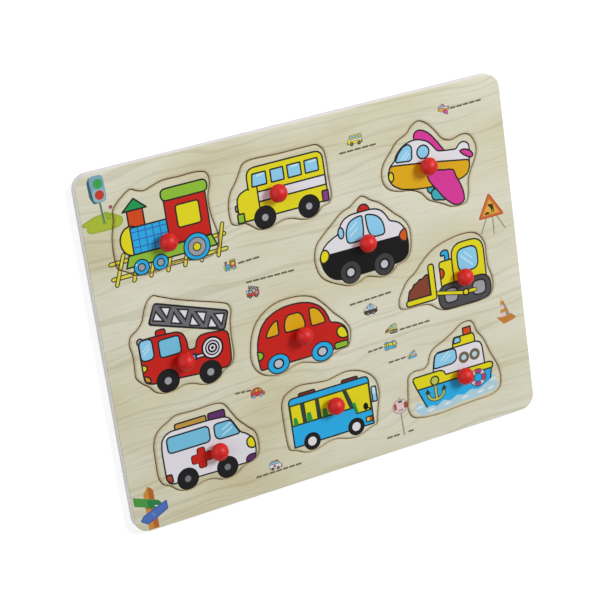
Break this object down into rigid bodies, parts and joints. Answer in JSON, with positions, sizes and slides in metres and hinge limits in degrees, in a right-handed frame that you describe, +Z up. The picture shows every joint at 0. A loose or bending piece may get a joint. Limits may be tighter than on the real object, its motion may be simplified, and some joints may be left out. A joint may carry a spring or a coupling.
{
  "type": "peg puzzle",
  "caption": "Flat wooden peg puzzle board with vehicle-shaped cut-outs, each holding a loose printed piece lifted by a round plastic knob.",
  "frame": {"origin": "centre of the board's underside, which lies on the table", "axes": "+X along the board's long side, to the right of the picture; +Y along the short side, to the picture's upper edge; +Z up, out of the picture"},
  "size_m": [0.28, 0.222, 0.017],
  "materials": {
    "backing_board": "bare fibreboard, matt",
    "printed_sheet": "pale wood-grain print, satin",
    "printed_piece": "pale wood-grain print with a printed vehicle, satin",
    "knob_plastic": "red moulded plastic, glossy"
  },
  "bodies": {
    "board": {"base_board": "backing_board", "top_board": "printed_sheet"},
    "train": {"train_piece": "printed_piece", "train_peg": "knob_plastic"},
    "school_bus": {"school_bus_piece": "printed_piece", "school_bus_peg": "knob_plastic"},
    "plane": {"plane_piece": "printed_piece", "plane_peg": "knob_plastic"},
    "police_car": {"police_car_piece": "printed_piece", "police_car_peg": "knob_plastic"},
    "bulldozer": {"bulldozer_piece": "printed_piece", "bulldozer_peg": "knob_plastic"},
    "fire_truck": {"fire_truck_piece": "printed_piece", "fire_truck_peg": "knob_plastic"},
    "car": {"car_piece": "printed_piece", "car_peg": "knob_plastic"},
    "ambulance": {"ambulance_piece": "printed_piece", "ambulance_peg": "knob_plastic"},
    "bus": {"bus_piece": "printed_piece", "bus_peg": "knob_plastic"},
    "ship": {"ship_piece": "printed_piece", "ship_peg": "knob_plastic"}
  },
  "joints": [
    {"name": "train_lift", "type": "slide", "parent": "board", "child": "train", "axis": [0, 0, 1], "range_m": [0, 0.03]},
    {"name": "school_bus_lift", "type": "slide", "parent": "board", "child": "school_bus", "axis": [0, 0, 1], "range_m": [0, 0.03]},
    {"name": "plane_lift", "type": "slide", "parent": "board", "child": "plane", "axis": [0, 0, 1], "range_m": [0, 0.03]},
    {"name": "police_car_lift", "type": "slide", "parent": "board", "child": "police_car", "axis": [0, 0, 1], "range_m": [0, 0.03]},
    {"name": "bulldozer_lift", "type": "slide", "parent": "board", "child": "bulldozer", "axis": [0, 0, 1], "range_m": [0, 0.03]},
    {"name": "fire_truck_lift", "type": "slide", "parent": "board", "child": "fire_truck", "axis": [0, 0, 1], "range_m": [0, 0.03]},
    {"name": "car_lift", "type": "slide", "parent": "board", "child": "car", "axis": [0, 0, 1], "range_m": [0, 0.03]},
    {"name": "ambulance_lift", "type": "slide", "parent": "board", "child": "ambulance", "axis": [0, 0, 1], "range_m": [0, 0.03]},
    {"name": "bus_lift", "type": "slide", "parent": "board", "child": "bus", "axis": [0, 0, 1], "range_m": [0, 0.03]},
    {"name": "ship_lift", "type": "slide", "parent": "board", "child": "ship", "axis": [0, 0, 1], "range_m": [0, 0.03]}
  ]
}
